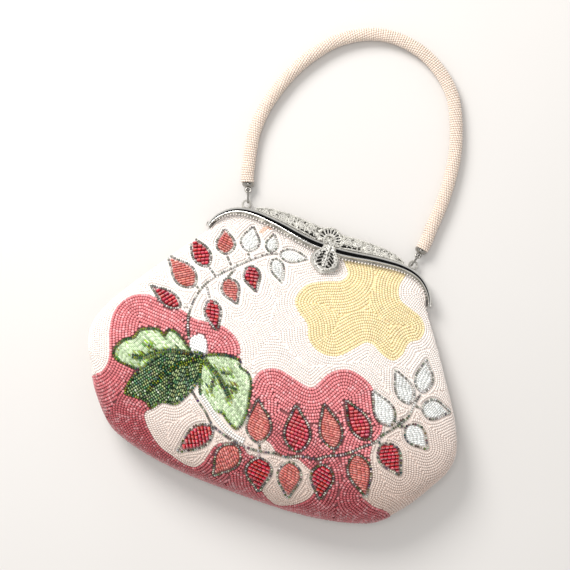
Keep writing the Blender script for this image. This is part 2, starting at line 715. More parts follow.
# Meshes
def new_mesh(name, points, faces, colours=None):
    """A smooth shaded piece from points in millimetres, with a colour for each point."""
    mesh = bpy.data.meshes.new(name)
    mesh.from_pydata((points * MM).tolist(), [], faces)
    if colours is not None:
        layer = mesh.color_attributes.new("bead_colour", "FLOAT_COLOR", "POINT")
        values = np.ones((len(points), 4), np.float32)
        values[:, :3] = colours
        layer.data.foreach_set("color", values.ravel())
    mesh.update()
    mesh.polygons.foreach_set("use_smooth", [True] * len(mesh.polygons))
    piece = bpy.data.objects.new(name, mesh)
    bpy.context.scene.collection.objects.link(piece)
    return piece


def ring_faces(count, size, endless=False):
    """Faces that join each of some rings of points to the next."""
    faces = []
    for r in range(count if endless else count - 1):
        far = (r + 1) % count
        for i in range(size):
            j = (i + 1) % size
            faces.append((r * size + i, r * size + j, far * size + j, far * size + i))
    return faces


def reworked(piece, steps):
    """Changes a piece's mesh by some steps on it."""
    work = bmesh.new()
    work.from_mesh(piece.data)
    steps(work)
    work.to_mesh(piece.data)
    work.free()
    return piece


def face_out(work):
    """Turns all faces outwards."""
    bmesh.ops.recalc_face_normals(work, faces=work.faces)


def weld(work):
    """Merges the points of loose triangles and dissolves the edges in their planes."""
    bmesh.ops.remove_doubles(work, verts=work.verts, dist=1e-6)
    bmesh.ops.dissolve_limit(work, angle_limit=math.radians(1), verts=work.verts, edges=work.edges)


def grid_piece(name, rings, endless=False, colours=None):
    """A smooth body through rings of points, closed at its ends or back to its start."""
    rings = np.array(rings)
    count, size = rings.shape[:2]
    faces = ring_faces(count, size, endless)
    if not endless:
        faces.append(tuple(range(size)))
        faces.append(tuple(reversed(range((count - 1) * size, count * size))))
    return reworked(new_mesh(name, rings.reshape(-1, 3), faces, colours), face_out)


def wire(name, line, radius, sides=8, endless=False, colours=None):
    """A round wire along a line in space."""
    line = np.array(line, float)
    ways = unit(np.gradient(line, axis=0))
    if endless:
        ways = unit(np.roll(line, -1, axis=0) - np.roll(line, 1, axis=0))
    side = unit(np.cross(ways, UP) + 1e-6)
    rise = np.cross(side, ways)
    radius = np.broadcast_to(radius, len(line))[:, None]
    rings = [line + radius * (side * math.cos(t) + rise * math.sin(t)) for t in turns_of(sides)]
    return grid_piece(name, np.stack(rings, axis=1), endless, colours)


def chosen(pieces):
    """Selects some pieces and nothing else, the first as the active one."""
    bpy.ops.object.select_all(action="DESELECT")
    for piece in pieces:
        piece.select_set(True)
    bpy.context.view_layer.objects.active = pieces[0]


def smoothed(piece, degrees):
    """Shades a piece smooth, but for edges sharper than an angle."""
    chosen([piece])
    bpy.ops.object.shade_smooth_by_angle(angle=math.radians(degrees))
    return piece


def joined_piece(name, pieces):
    """Several pieces as one object."""
    chosen(pieces)
    bpy.ops.object.join()
    pieces[0].name = name
    return pieces[0]


def bead_mesh(name, beads, sides, edge=0.8, swell=0.76, glint=0.0, tall=1.0):
    """One joined mesh of low beads, each two rings between two ends: darker round the edge, and with
    a pale line on top where there is a glint."""
    middles, alongs, ups = (np.array(rows) for rows in (beads.middles, beads.alongs, beads.ups))
    sizes, colours = np.array(beads.sizes), np.array(beads.colours)
    asides = np.cross(ups, alongs)
    turns = 2 * np.pi * (np.arange(sides) + 0.5) / sides
    width, length = sizes[:, 0, None] / 2, sizes[:, 1, None] / 2
    rings = []
    for end in (-1, 1):
        centre = middles + alongs * length * end * swell
        ring = [centre + (asides * math.cos(t) + ups * tall * math.sin(t)) * width for t in turns]
        rings.append(np.stack(ring, axis=1))
    poles = [(middles + alongs * length * end)[:, None, :] for end in (-1.0, 1.0)]
    points = np.concatenate([poles[0], rings[0], rings[1], poles[1]], axis=1)
    each = points.shape[1]
    faces = []
    for k in range(sides):
        j = (k + 1) % sides
        faces.append((0, 1 + j, 1 + k, 1 + k))
        faces.append((1 + k, 1 + j, 1 + sides + j, 1 + sides + k))
        faces.append((1 + sides + k, 1 + sides + j, each - 1, each - 1))
    pattern = np.array(faces)
    starts = (np.arange(len(middles)) * each)[:, None, None]
    quads = (pattern[None] + starts).reshape(-1, 4)
    caps = quads[:, 2] == quads[:, 3]
    listed = [tuple(f[:3]) if cap else tuple(f) for f, cap in zip(quads.tolist(), caps)]
    crown = np.maximum(np.sin(turns), 0)
    shades = edge + (1 - edge) * np.concatenate([[0], crown, crown, [0]])
    painted = colours[:, None, :] * shades[None, :, None]
    if glint:
        share = glint * (0.3 + 0.7 * random.random((len(middles), 1, 1)))
        lit = [sides // 4, sides + sides // 4]
        painted[:, lit] += (1 - painted[:, lit]) * share
    return new_mesh(name, points.reshape(-1, 3), listed, painted.reshape(-1, 3))


# Shader building
class Value:
    """A node's output, so that products of it read as plain expressions."""

    def __init__(self, finish, socket):
        self.finish = finish
        self.socket = socket

    def __mul__(self, other):
        return self.finish.node("ShaderNodeMath", {"operation": "MULTIPLY"}, {0: self, 1: other})

    __rmul__ = __mul__


class Nodes:
    """A node tree under construction."""

    def __init__(self, tree):
        self.tree = tree

    def node(self, kind, settings, inputs, output=0):
        made = self.tree.nodes.new(kind)
        for name, value in settings.items():
            setattr(made, name, value)
        for name, value in inputs.items():
            self.feed(made.inputs[name], value)
        return Value(self, made.outputs[output])

    def feed(self, socket, value):
        if isinstance(value, Value):
            self.tree.links.new(value.socket, socket)
        elif isinstance(value, tuple) and len(value) == 3 and socket.type == "RGBA":
            socket.default_value = (*value, 1)
        else:
            socket.default_value = value

    def mix(self, share, first, second, blend="MIX"):
        settings = {"data_type": "RGBA", "blend_type": blend}
        return self.node("ShaderNodeMix", settings, {0: share, 6: first, 7: second}, 2)

    def limit(self, value, low, high, to_low=0.0, to_high=1.0):
        inputs = {"Value": value, 1: low, 2: high, 3: to_low, 4: to_high}
        return self.node("ShaderNodeMapRange", {}, inputs)


class Finish(Nodes):
    """A material under construction."""

    def __init__(self, name, **sockets):
        self.material = bpy.data.materials.new(name)
        self.material.use_nodes = True
        super().__init__(self.material.node_tree)
        self.shader = self.tree.nodes["Principled BSDF"]
        self.set(**sockets)

    def set(self, **sockets):
        for name, value in sockets.items():
            self.feed(self.shader.inputs[name.replace("_", " ")], value)

    def place(self):
        return self.node("ShaderNodeTexCoord", {}, {}, "Object")

    def attribute(self, name):
        return self.node("ShaderNodeAttribute", {"attribute_name": name}, {}, "Color")

    def noise(self, scale, detail=3.0):
        inputs = {"Vector": self.place(), "Scale": scale, "Detail": detail}
        return self.node("ShaderNodeTexNoise", {}, inputs, "Fac")

    def bump(self, height, strength, distance):
        inputs = {"Height": height, "Strength": strength, "Distance": distance}
        self.set(Normal=self.node("ShaderNodeBump", {}, inputs))


def bead_finish(name, roughness, metallic=0.0, coat=0.3, glow=0.0):
    """Glass beads that take their colour from the mesh, with a faintly uneven skin."""
    finish = Finish(name, Metallic=metallic, Coat_Weight=coat, Coat_Roughness=0.05)
    finish.set(Base_Color=finish.attribute("bead_colour"))
    finish.set(Roughness=finish.limit(finish.noise(900.0), 0.3, 0.7, roughness * 0.8, roughness * 1.25))
    if glow:
        finish.set(Subsurface_Weight=glow, Subsurface_Scale=0.001, Subsurface_Radius=(1.0, 0.9, 0.85))
    finish.bump(finish.noise(2600.0), 0.12, 0.0001)
    return finish.material


def cloth_finish():
    """Fine woven ground under the beads, dyed like them."""
    finish = Finish("ground_cloth", Roughness=0.85, Sheen_Weight=0.2)
    threads = {"Vector": finish.place(), "Scale": 1400.0}
    weave = finish.node("ShaderNodeTexVoronoi", {"feature": "F1"}, threads, "Distance")
    depth = finish.limit(weave, 0.0, 0.6, 0.2, 0.0)
    finish.set(Base_Color=finish.mix(depth, finish.attribute("bead_colour"), (0.4, 0.33, 0.3), "MULTIPLY"))
    finish.bump(weave, 0.5, 0.0002)
    return finish.material


def silver_finish(name, roughness, tarnish, bright=NICKEL, relief=0.05, metallic=1.0):
    """Nickel plate with fine wear, darker where tarnish gathers."""
    finish = Finish(name, Metallic=metallic)
    wear = finish.noise(180.0, 6.0)
    grime = finish.limit(finish.noise(420.0, 4.0), 0.45, 0.75)
    finish.set(Base_Color=finish.mix(grime * tarnish, bright, TARNISH))
    finish.set(Roughness=finish.limit(wear, 0.3, 0.8, roughness, roughness * 2.2))
    finish.bump(finish.noise(1700.0), relief, 0.0002)
    return finish.material


def cast_finish(name, bright, dark, scale, share):
    """Satin cast metal with many small dark pits."""
    finish = Finish(name, Metallic=0.55)
    pits = finish.limit(finish.noise(scale, 2.0), 0.5, 0.58)
    finish.set(Base_Color=finish.mix(pits * share, bright, dark))
    finish.set(Roughness=finish.limit(finish.noise(240.0, 5.0), 0.3, 0.8, 0.3, 0.5))
    finish.bump(pits, -0.4, 0.0002)
    return finish.material


# Pieces get their finish, their slot and the body that they ride on
def finished(piece, finish, body="bag"):
    piece.data.materials.clear()
    piece.data.materials.append(finish)
    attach(piece, body)
    return piece


def dressed(node, finish, body, soften):
    """A finished copy of a metal node: welded, its edges softened and shaded smooth."""
    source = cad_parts[node]
    piece = source.copy()
    piece.data = source.data.copy()
    piece.name = node + "_finished"
    piece.parent = None
    piece.animation_data_clear()
    bpy.context.scene.collection.objects.link(piece)
    piece.matrix_world = Matrix.Identity(4)
    piece.hide_render = False
    reworked(piece, weld)
    chosen([piece])
    if soften:
        bevel = piece.modifiers.new("soften", "BEVEL")
        bevel.width = soften * MM
        bevel.segments = 2
        bevel.limit_method = "ANGLE"
        bevel.angle_limit = math.radians(40)
        bpy.ops.object.modifier_apply(modifier=bevel.name)
    smoothed(piece, 38)
    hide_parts(node)
    return finished(piece, finish, body)


# Lines of the design, in the photograph's pixels
BUDS = [("red", bud) for bud in RED_BUDS] + [("coral", bud) for bud in CORAL_BUDS]
BUDS += [("clear", bud) for bud in CLEAR_BUDS]
bud_lines = [bud_outline(*bud) for _, bud in BUDS]
LEAVES = {"left": LEFT_LEAF, "right": RIGHT_LEAF, "dark": DARK_LEAF}
leaf_lines = {name: spline(points, 2, True) for name, points in LEAVES.items()}
knot_line = spline(KNOT, 1.5, True)
PATCHES = (
    ("yellow", YELLOW_PATCH), ("red", RED_PATCH), ("cream", CREAM_POCKET), ("red", PINK_PATCH),
    ("cream", CREAM_LOBE),
)
patch_lines = [(kind, spline(points, 2, True)) for kind, points in PATCHES]
motif_lines = [*bud_lines, *leaf_lines.values(), knot_line]


def ground_at(picture):
    """Which ground colour the points of the photograph have, under the leaves and buds."""
    ground = np.full(picture.shape[:-1], "cream", dtype="U6")
    for kind, line in patch_lines:
        ground[holds(line, picture)] = kind
    return ground


def ground_edges():
    """Points of the photograph where the ground's colour changes, but not under the leaves."""
    edges = []
    for _, line in patch_lines:
        way = unit(np.gradient(line, axis=0))
        out = 1.5 * np.stack([-way[:, 1], way[:, 0]], axis=1)
        edge = ground_at(line + out) != ground_at(line - out)
        for leaf in leaf_lines.values():
            edge &= ~holds(leaf, line)
        edges.append(line[edge])
    return np.vstack(edges)


def clear_of(lines, margin):
    """A test for points of the photograph that keep a margin from some lines."""
    targets = np.vstack(lines)
    return lambda points: np.linalg.norm(points[:, None] - targets, axis=2).min(axis=1) > margin


def inside_of(line, others, margin):
    """A test for points inside one outline and clear of it and the others."""
    keep = clear_of([line, *others], margin)
    return lambda points: holds(line, points) & keep(points)


# Heights at which the grounds start to change towards the bottom edge, and how far that takes
CREAM_FADE_START = 10
CREAM_FADE_RUN = 80
CREAM_FADE_SLANT = 0.3
ROSE_FADE_START = -12
ROSE_FADE_RUN = 40


def blended(first, second, share):
    """A colour between two."""
    return np.array(first) * (1 - share) + np.array(second) * share


def cream_at(points):
    """The cream ground warms towards the bottom edge."""
    low = (CREAM_FADE_START - points[..., 1] + CREAM_FADE_SLANT * points[..., 0]) / CREAM_FADE_RUN
    return blended(CREAM, LOW_CREAM, np.clip(low, 0, 1)[..., None])


def cream_shade(point):
    """Cream glass, with a faint salmon mark under the frame."""
    near = np.linalg.norm(to_picture(point) - STAIN, axis=1).min() < STAIN_REACH
    tint = np.array(STAIN_TINT) if near and point[2] > MIDDLE_PLANE else 1.0
    return kept_lit(cream_at(point) * tint * (1 + random.normal(0, 0.025)))


def rose_shade(point):
    """The rose ground darkens towards the bottom edge, and one bead in five is paler."""
    base = blended(PINK, DARK_ROSE, np.clip((ROSE_FADE_START - point[1]) / ROSE_FADE_RUN, 0, 1))
    glint = 0.14 * (random.random() < 0.2)
    return kept_lit(base * (1 + random.normal(0, 0.1)) + glint)


# Silver outlines and stems, and the green leaves' rims and veins
front = Panel(side_grid(0.0, 440, 330))
beading = Beading(front)
outlines, leaf_rims, white_rows = Beads(), Beads(), Beads()
pale_silver = mixture(GUNMETAL, PALE_SILVER, 0.55, 0.15)
deep_silver = mixture(SHADED_SILVER, WARM_SILVER, 0.5, 0.3)
olive_bead = mixture(OLIVE, DEEP_OLIVE, 0.45, 0.3)
LOWER_SPRAY = 8
LINE_PITCH = 1.55
STEM_PITCH = 1.7
RIM_PITCH = 1.65
DRAWN_STEP = 1.5
lined = []


def silver_bead(point):
    """The lower spray's beads are darker."""
    return (pale_silver if point[1] > LOWER_SPRAY else deep_silver)(point)


def back_to_start(line):
    """A closed outline with its first point repeated at its end."""
    return np.vstack([line, line[:1]])


def lay_line(beads, line, pitch, share, colour, lift=0.5):
    """Beads along a line of the photograph, which is kept for the rows that echo it."""
    for run in front.line(line):
        beading.row(beads, run, pitch, pitch * share, colour, lift)
        lined.append(run[:, :3])


def lay_double(beads, line, aside, width, length, colour, lift=0.5):
    """Two rows of beads, one on each side of a line of the photograph."""
    for run in front.line(line):
        for side in (-aside, aside):
            beading.row(beads, run, width, length, colour, lift, side)


for line in bud_lines:
    lay_line(outlines, back_to_start(line), LINE_PITCH, 0.88, silver_bead)
for stem in STEMS:
    lay_line(outlines, spline(stem, DRAWN_STEP), STEM_PITCH, 0.85, silver_bead)
white_line = spline(WHITE_ROW, DRAWN_STEP)
lay_double(white_rows, white_line, 0.85, 1.65, 1.4, varied(SOFT_WHITE, 0.03))
lined += [run[:, :3] for run in front.line(white_line)]
vein_lines = [spline(vein, DRAWN_STEP) for vein in LEFT_VEINS + DARK_VEINS + RIGHT_VEINS]
for veins in (LEFT_VEINS, DARK_VEINS, RIGHT_VEINS):
    lay_double(leaf_rims, spline(veins[0], DRAWN_STEP), 0.75, 1.5, 1.3, olive_bead, 0.75)
for line in [*map(back_to_start, leaf_lines.values()), *vein_lines]:
    lay_line(leaf_rims, line, RIM_PITCH, 0.85, olive_bead, 0.7)

# Buds: crosswise rows of larger beads in the red ones, finer ones in the others
red_fill, coral_fill, clear_fill = Beads(), Beads(), Beads()
red_glass = mixture(RED, BRIGHT_RED, 0.3, 0.1)
coral_glass = mixture(CORAL, PALE_CORAL, 0.3, 0.05)
clear_glass = mixture(CLEAR, DULL_CLEAR, 0.3, 0.015)
# Columns: beads, pitch, length, slant, margin, colour, streak, stagger
BUD_FILLS = {
    "red": (red_fill, 2.05, 2.4, 0.42, 1.9, red_glass, 0.06, False),
    "coral": (coral_fill, 1.35, 2.6, 0.5, 2.0, coral_glass, 0.1, True),
    "clear": (clear_fill, 1.15, 2.2, 0.6, 1.9, clear_glass, 0.05, True),
}
for (kind, (base, tip, _)), line in zip(BUDS, bud_lines):
    beads, pitch, length, slant, margin, colour, streak, stagger = BUD_FILLS[kind]
    run = np.array(tip, float) - base
    turn = math.atan2(run[1], run[0]) + math.pi / 2 + slant
    middle = (np.array(base) + tip) / 2
    beading.fill(beads, inside_of(line, [], margin), middle, turn, pitch, length, colour, streak, stagger)

# Leaves: slanted satin rows of narrow beads, and dark iridescent ones
green_fill, dark_fill, knot_beads = Beads(), Beads(), Beads()
light_green = mixture(LIGHT_GREEN, PALE_GREEN, 0.5, 0.03)
dark_green = mixture(DARK_GREEN, MOSS, 0.45, 0.25)
lime_green = varied(LIME, 0.35)
pale_glint = varied(LEAF_GLINT, 0.1)
off_vein = clear_of(vein_lines, 4.8)
off_rim = clear_of(list(leaf_lines.values()), 3.0)
LEFT_TONE = 1.08
RIGHT_TONE = 1.06
LEAF_SPLIT = DARK_SPLIT + 28
LEAF_MARGIN = 1.5


def leaf_shade(point):
    """Light green glass, mixed with lime beside the veins and the rim."""
    spot = to_picture(point)[None]
    beside = 0.55 * (not off_vein(spot)[0]) + 0.25 * (not off_rim(spot)[0])
    if random.random() < beside:
        return lime_green(point)
    return light_green(point) * (LEFT_TONE if spot[0, 0] < LEAF_SPLIT else RIGHT_TONE)


def dark_shade(point):
    """Dark iridescent glass with a few pale glints."""
    return (pale_glint if random.random() < 0.05 else dark_green)(point)


def leaf_side(line, side):
    """A test for points inside a leaf and clear of its veins, and on one side where the leaf has two."""
    keep = inside_of(line, vein_lines, LEAF_MARGIN)
    return lambda points: keep(points) & (side * (points[:, 0] - DARK_SPLIT) >= 0)


# Columns: leaf, beads, side, turn, pitch, length, colour, streak, stagger
LEAF_FILLS = (
    ("left", green_fill, 0, 0.8, 0.85, 3.0, leaf_shade, 0.14, True),
    ("right", green_fill, 0, 1.0, 0.85, 3.0, leaf_shade, 0.14, True),
    ("dark", dark_fill, -1, -0.55, 1.6, 1.4, dark_shade, 0.05, False),
    ("dark", dark_fill, 1, 2.0, 1.2, 2.6, dark_shade, 0.15, True),
)
for name, beads, side, *rows in LEAF_FILLS:
    line = leaf_lines[name]
    beading.fill(beads, leaf_side(line, side), line.mean(axis=0), *rows)


def in_knot(points):
    """A test for points inside the knot."""
    return holds(knot_line, points)


beading.fill(knot_beads, in_knot, knot_line.mean(axis=0), 0.4, 1.6, 1.5, varied(WHITE, 0.04), 0.0, False)

# Grounds: rows that echo the edges between their colours
LINE_CLEAR = 0.75
edges, there = front.from_picture(ground_edges())
patch_gap = front.distance(front.at(edges, front.space)[there])
line_gap = front.distance(np.vstack(lined))
ground = ground_at(front.picture)
bare = line_gap > LINE_CLEAR
for line in motif_lines:
    bare &= ~holds(line, front.picture)
yellow_rows, rose_rows, cream_rows, back_rows = Beads(), Beads(), Beads(), Beads()
beading.echo_rows(yellow_rows, patch_gap, bare & (ground == "yellow"), 1.67, varied(YELLOW, 0.06))
beading.echo_rows(rose_rows, patch_gap, bare & (ground == "red"), 1.85, rose_shade)
beading.echo_rows(cream_rows, np.minimum(patch_gap, line_gap), bare & (ground == "cream"), 1.55, cream_shade)
back = Panel(side_grid(np.pi, 300, 220))
back_edge = np.vstack([back.space[0], back.space[-1], back.space[:, 0], back.space[:, -1]])
everywhere = np.ones(back.space.shape[:2], bool)
Beading(back).echo_rows(back_rows, back.distance(back_edge), everywhere, 1.9, cream_shade, lift=0.2)

# The strip along the bottom, rose where the front is, on its upper steps
HEM_AROUND = 400
HEM_STEPS = 24
HEM_ROSE_STEPS = 17
HEM_PITCH = 1.75
hem = Panel(hem_grid(HEM_AROUND, HEM_STEPS))
hem_gap = hem.distance(hem.space[:, 0])
hem_rose = (ground_at(to_picture(hem.space[:, :1])) == "red") & (np.arange(HEM_STEPS) < HEM_ROSE_STEPS)
hem_beading = Beading(hem)
hem_beading.echo_rows(rose_rows, hem_gap, hem_rose, HEM_PITCH, rose_shade)
hem_beading.echo_rows(cream_rows, hem_gap, ~hem_rose, HEM_PITCH, cream_shade)

GLASS = {
    "cream": bead_finish("cream_beads", 0.3, coat=0.3, glow=0.2),
    "yellow": bead_finish("yellow_beads", 0.28, coat=0.35, glow=0.2),
    "rose": bead_finish("rose_beads", 0.18, coat=0.7, glow=0.1),
    "red": bead_finish("red_glass_beads", 0.08, coat=1.0),
    "coral": bead_finish("coral_beads", 0.18, coat=0.6),
    "clear": bead_finish("clear_beads", 0.14, coat=0.6, glow=0.2),
    "silver": bead_finish("silver_lined_beads", 0.2, metallic=0.4, coat=0.6),
    "olive": bead_finish("olive_beads", 0.18, metallic=0.3, coat=0.6),
    "green": bead_finish("light_green_beads", 0.4, coat=0.15, glow=0.15),
    "dark": bead_finish("dark_green_beads", 0.14, metallic=0.3, coat=0.8),
    "white": bead_finish("white_beads", 0.3, coat=0.4, glow=0.2),
}

# Columns: beads, glass, sides, edge shade, swell, glint, height share
BEAD_PIECES = {
    "cream_bead_rows": (cream_rows, "cream", 6, 1.0, 0.76, 0.0, 0.7),
    "back_bead_rows": (back_rows, "cream", 6, 0.9, 0.76, 0.0, 0.8),
    "yellow_bead_rows": (yellow_rows, "yellow", 6, 0.97, 0.76, 0.0, 0.62),
    "rose_bead_rows": (rose_rows, "rose", 6, 0.62, 0.76, 0.0, 1.0),
    "silver_bead_lines": (outlines, "silver", 8, 0.3, 0.45, 0.0, 1.0),
    "white_bead_row": (white_rows, "white", 8, 0.8, 0.76, 0.0, 1.0),
    "red_bud_beads": (red_fill, "red", 8, 0.5, 0.8, 0.25, 1.0),
    "coral_bud_beads": (coral_fill, "coral", 8, 0.6, 0.9, 0.22, 1.0),
    "clear_bud_beads": (clear_fill, "clear", 8, 0.95, 0.9, 0.0, 1.0),
    "leaf_rim_beads": (leaf_rims, "olive", 8, 0.3, 0.4, 0.0, 1.0),
    "light_leaf_beads": (green_fill, "green", 8, 0.75, 0.92, 0.0, 1.0),
    "dark_leaf_beads": (dark_fill, "dark", 8, 0.15, 0.5, 0.12, 1.0),
    "knot_beads": (knot_beads, "white", 8, 1.0, 0.85, 0.0, 1.0),
}
SPLIT_PIECES = ("cream_bead_rows", "back_bead_rows", "rose_bead_rows")
MOST_BEADS = 7500


def split_up(name, beads):
    """Long bead runs as several sets, each of a size that keeps its whole mesh."""
    order = np.argsort([middle[0] for middle in beads.middles])
    for number, numbers in enumerate(np.array_split(order, math.ceil(len(order) / MOST_BEADS))):
        share = Beads()
        for i in numbers:
            share.add(beads.middles[i], beads.alongs[i], beads.ups[i], *beads.sizes[i], beads.colours[i])
        yield f"{name}_{number + 1}", share


for name, (beads, kind, *form) in BEAD_PIECES.items():
    for piece_name, share in split_up(name, beads) if name in SPLIT_PIECES else [(name, beads)]:
        finished(bead_mesh(piece_name, share, *form), GLASS[kind])

# The cloth pouch under the beads, with an inside
CLOTH_AROUND = 300
CLOTH_DOWN = 160
UNDER_BUD_MARGIN = 1.3


def cloth_pouch():
    """Points and faces of the cloth: up its outside, down its inside, and closed along the bottom."""
    places = np.linspace(0, len(POUCH_ROWS) - 1, CLOTH_DOWN)
    rings = []
    for inset, order in ((CLOTH_HEIGHT, places[::-1]), (CLOTH_WALL, places)):
        for place in order:
            rings.append(pouch_surface(turns_of(CLOTH_AROUND), np.full(CLOTH_AROUND, place), inset))
    faces = ring_faces(len(rings), CLOTH_AROUND)
    last = (len(rings) - 1) * CLOTH_AROUND
    for i in range(CLOTH_AROUND // 2 - 1):
        strip = (i, CLOTH_AROUND - 1 - i, CLOTH_AROUND - 2 - i, i + 1)
        faces += [strip, tuple(last + k for k in reversed(strip))]
    return np.vstack(rings), faces


cloth_points, cloth_faces = cloth_pouch()
dyes = cream_at(cloth_points)
seen = to_picture(cloth_points)
outer = np.arange(len(cloth_points)) < len(cloth_points) // 2
facing_up = outer & (np.tile(turns_of(CLOTH_AROUND), len(cloth_points) // CLOTH_AROUND) < np.pi)
cloth_ground = ground_at(seen)
for name, dye, share in (("yellow", YELLOW, 0.9), ("red", PINK, 0.28)):
    dyes[facing_up & (cloth_ground == name)] = np.array(dye) * share
LEAF_DYES = {"left": LIGHT_GREEN, "right": LIGHT_GREEN, "dark": DARK_CLOTH, "knot": WHITE}
for name, line in (*leaf_lines.items(), ("knot", knot_line)):
    dyes[facing_up & holds(line, seen)] = np.array(LEAF_DYES[name]) * 0.8
BUD_DYES = {"red": np.array(RED) * 0.4, "coral": np.array(CORAL) * 0.6, "clear": CLEAR_GROUND}
for (kind, _), line in zip(BUDS, bud_lines):
    under = facing_up & holds(line, seen)
    under[under] = clear_of([line], UNDER_BUD_MARGIN)(seen[under])
    dyes[under] = BUD_DYES[kind]
pouch = reworked(new_mesh("pouch_cloth", cloth_points, cloth_faces, dyes), face_out)
finished(pouch, cloth_finish())
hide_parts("pouch")

# The beaded rope: a cord core with beads wound round it
WINDING_PITCH = 1.5
WINDING_BEADS = 15
WINDING_TURN = 0.31
BEADS_INSET = 0.72
CORE_INSET = 0.95
CORE_STEP = 3.0
CORE_SIDES = 16


def rope_end(side):
    """Two points at an end of the rope, straight out of its cap."""
    low, high = (np.array(corner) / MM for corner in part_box(f"end_cap_{side}"))
    turn = math.radians(CAP_LEAN[side])
    lean = np.array([-math.sin(turn), math.cos(turn)])
    start = (low + high)[:2] / 2 + lean * CAP_TOP
    return [start, start + lean * ROPE_STRAIGHT]


def rope_beads(line):
    """Rings of slanted beads round the rope, each ring turned a little from the last."""
    beads = Beads()
    spine = evenly(line, WINDING_PITCH * 0.93)
    colour = varied(ROPE_CREAM, 0.03)
    for number, (point, way) in enumerate(zip(spine, unit(np.gradient(spine, axis=0)))):
        ahead = np.array([*way, 0.0])
        side = np.array([way[1], -way[0], 0.0])
        for k in range(WINDING_BEADS):
            turn = 2 * np.pi * (k + number * WINDING_TURN) / WINDING_BEADS
            out = side * math.cos(turn) + UP * math.sin(turn)
            middle = np.array([*point, ROPE_RADIUS]) + out * (ROPE_RADIUS - BEADS_INSET)
            slant = unit(np.cross(out, ahead) * 0.9 + ahead * 0.45)
            beads.add(middle, slant, out, WINDING_PITCH * 0.96, WINDING_PITCH * 0.95, colour(middle))
    return beads


rope_path = spline([*rope_end("left"), *ROPE_ROUTE, *rope_end("right")[::-1]], 1.0)
finished(bead_mesh("rope_beads", rope_beads(rope_path), 6, 1.0, tall=0.66), GLASS["cream"])
core_path = evenly(rope_path, CORE_STEP)
core_path = np.column_stack([core_path, np.full(len(core_path), ROPE_RADIUS)])
core = wire("rope_core", core_path, ROPE_RADIUS - CORE_INSET, CORE_SIDES, colours=CORD)
finished(core, cloth_finish())
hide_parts("handle_rope")

# Metal pieces: swept bars, wires and rows of small cast balls
BAR_DEPTH = bar_high[2] - bar_low[2]
BAR_GAP = 2 * (bar_low[2] - MIDDLE_PLANE)
# Rounded outer side of a bar's section: rise is a share of its half height, out of its depth
BAR_ROUND = [
    (0.72, 0.0), (0.97, 0.1), (1.0, 0.55), (0.985, 0.74), (0.93, 0.81), (0.85, 0.845), (0.6, 0.9),
    (0.3, 0.945), (0.0, 0.975), (-0.3, 0.993), (-0.55, 1.0), (-0.75, 0.985), (-0.9, 0.93), (-0.97, 0.86),
]
BAR_SIDE = spline(BAR_ROUND, 0.08)
BAR_STEPS = 300
LIP_STEPS = 720
LIP_MARGIN = 0.025
LIP_SHELF = BAR_DEPTH - LIP_RECESS
LIP_OVERLAP = 0.2
TOOTH_PITCH = 1.93
TOOTH_ROOT = 0.58
FRAME_RUN = np.linalg.norm(np.diff(FRAME_CURVE, axis=0), axis=1).sum()


def swept(name, outward, section_at, steps, margin=0.0):
    """A body with a changing section, swept along one bar of the frame."""
    share = np.linspace(margin, 1 - margin, steps)
    rings = []
    for place, centre, away, half, lip in zip(share, *frame_place(share)):
        section = section_at(place, half, lip)
        depths = [MIDDLE_PLANE + outward * (BAR_GAP / 2 + out) for _, out in section]
        rings.append([(*(centre + away * up), depth) for (up, _), depth in zip(section, depths)])
    return smoothed(grid_piece(name, rings), 35)


def bar_section(share, half, lip):
    """The bar's rounded side, its flat bottom above the lip, and its inner side."""
    section = [(up * half, out * BAR_DEPTH) for up, out in BAR_SIDE]
    return section + [(-half, LIP_SHELF - LIP_THICKNESS), (-half, 0.0), (0.0, 0.0)]


def lip_section(share, half, lip):
    """A toothed strip under the bar."""
    tooth = TOOTH_ROOT + (1 - TOOTH_ROOT) * abs(2 * (share * FRAME_RUN / TOOTH_PITCH % 1) - 1)
    low = -half - lip * tooth
    high = -half + LIP_OVERLAP
    shelf = LIP_SHELF - LIP_THICKNESS
    return [(high, LIP_SHELF), (low, LIP_SHELF), (low, shelf), (high, shelf)]


def balls(points, size, ups=UP):
    """Small cast balls along a line, for rims."""
    made = Beads()
    for point, way in zip(points, unit(np.gradient(points, axis=0))):
        made.add(point, way, ups, size, size * 1.05, CAST_BALL)
    return made


def bar_top(x):
    """Height of the bar's upper edge over a place across the bag."""
    centre, away, half, _ = frame_place(np.linspace(0, 1, 400))
    edge = centre + away * half[:, None]
    inner = np.abs(edge[:, 0]) < 0.97 * FRAME_WIDTH / 2
    return np.interp(x, edge[inner, 0], edge[inner, 1])


# Height of a crest wing over the bar, and its scrolls, with the columns of the part's source
CREST_SPAN = 94.0
CREST_HEIGHT = 8.4
CREST_LOW = 6.2
CREST_TOP = CREST_LOW + 2.2
RELIEF_TOP = CREST_TOP + 0.6
WING_PROFILE = np.array(
    [
        (0.1, 0.97), (0.25, 0.95), (0.4, 0.89), (0.52, 0.8), (0.65, 0.68), (0.76, 0.56), (0.86, 0.42),
        (0.94, 0.26), (1.0, 0.1),
    ],
    dtype=[("across", float), ("height", float)],
)
WING_SCROLLS = [
    (0.25, 0.6, 0.29), (0.385, 0.6, 0.29), (0.52, 0.53, 0.28), (0.645, 0.5, 0.25), (0.755, 0.5, 0.2),
    (0.85, 0.5, 0.145),
]
SCROLL_SPRIGS = 7
FAN_RADIUS = 8.0
FAN_OFFSET = 0.9
FAN_RAYS = 9
FAN_MIDDLE = np.array([FAN_OFFSET, bar_top(FAN_OFFSET) + SEAT_GAP + 0.28 * FAN_RADIUS, CREST_TOP])
# Openings beside the fan: their places across a wing, and their widths
WING_HOLLOWS = ((0.2, 1.5), (0.25, 1.5), (0.3, 1.2), (0.35, 0.9), (0.39, 0.6))


